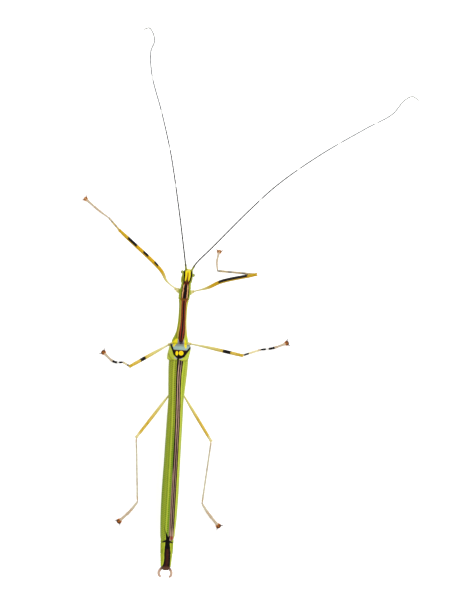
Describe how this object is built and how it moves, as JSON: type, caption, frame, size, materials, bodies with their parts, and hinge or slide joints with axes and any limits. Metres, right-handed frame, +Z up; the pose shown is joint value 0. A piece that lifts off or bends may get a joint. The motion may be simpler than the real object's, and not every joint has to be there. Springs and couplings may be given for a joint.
{
  "type": "winged male stick insect",
  "caption": "Slender winged stick insect standing on spread legs with long feelers raised and its wings folded along its back, as a still museum model.",
  "frame": {"origin": "bottom centre of the box round the whole insect, on the floor that its feet stand on", "axes": "+Y from tail to head, the longest extent, +Z up, the insect's left side at -X"},
  "size_m": [0.0672, 0.1075, 0.0387],
  "materials": {
    "trunk": "satin olive and bright green, with a dark maroon and black band along the middle",
    "head": "satin yellow with an orange middle line and two black stripes",
    "eye": "glossy green with a dark middle",
    "dark": "satin dark red-brown",
    "wing": "silky green with cream, brown and black lines beside the seam",
    "tegmen": "satin yellow-green with a black cup-shaped line and two yellow spots",
    "antenna": "fine dark grey with a few pale rings",
    "femur": "satin golden ochre with black marks",
    "tibia": "satin pale cream with dark grey bands",
    "foot": "satin pale tan with orange joints and dark claws",
    "cercus": "satin pinkish brown"
  },
  "bodies": {
    "root": {"pronotum": "trunk", "mesothorax": "trunk", "metathorax": "trunk", "abdomen_1": "trunk", "abdomen_2": "trunk", "abdomen_3": "trunk", "abdomen_4": "trunk", "abdomen_5": "trunk", "anal_segment": "dark", "head": "head", "eye_left": "eye", "palp_left": "head", "antenna_base_left": "antenna", "antenna_left_1": "antenna", "antenna_left_2": "antenna", "antenna_left_3": "antenna", "wing_left": "wing", "tegmen_left": "tegmen", "cercus_left": "cercus", "eye_right": "eye", "palp_right": "head", "antenna_base_right": "antenna", "antenna_right_1": "antenna", "antenna_right_2": "antenna", "antenna_right_3": "antenna", "wing_right": "wing", "tegmen_right": "tegmen", "cercus_right": "cercus", "fore_left_coxa": "trunk", "fore_left_femur": "femur", "fore_left_tibia": "tibia", "fore_left_foot": "foot", "fore_right_coxa": "trunk", "fore_right_femur": "femur", "fore_right_tibia": "tibia", "fore_right_foot": "foot", "mid_left_coxa": "trunk", "mid_left_femur": "femur", "mid_left_tibia": "tibia", "mid_left_foot": "foot", "mid_right_coxa": "trunk", "mid_right_femur": "femur", "mid_right_tibia": "tibia", "mid_right_foot": "foot", "hind_left_coxa": "trunk", "hind_left_femur": "femur", "hind_left_tibia": "tibia", "hind_left_foot": "foot", "hind_right_coxa": "trunk", "hind_right_femur": "femur", "hind_right_tibia": "tibia", "hind_right_foot": "foot"}
  },
  "joints": []
}
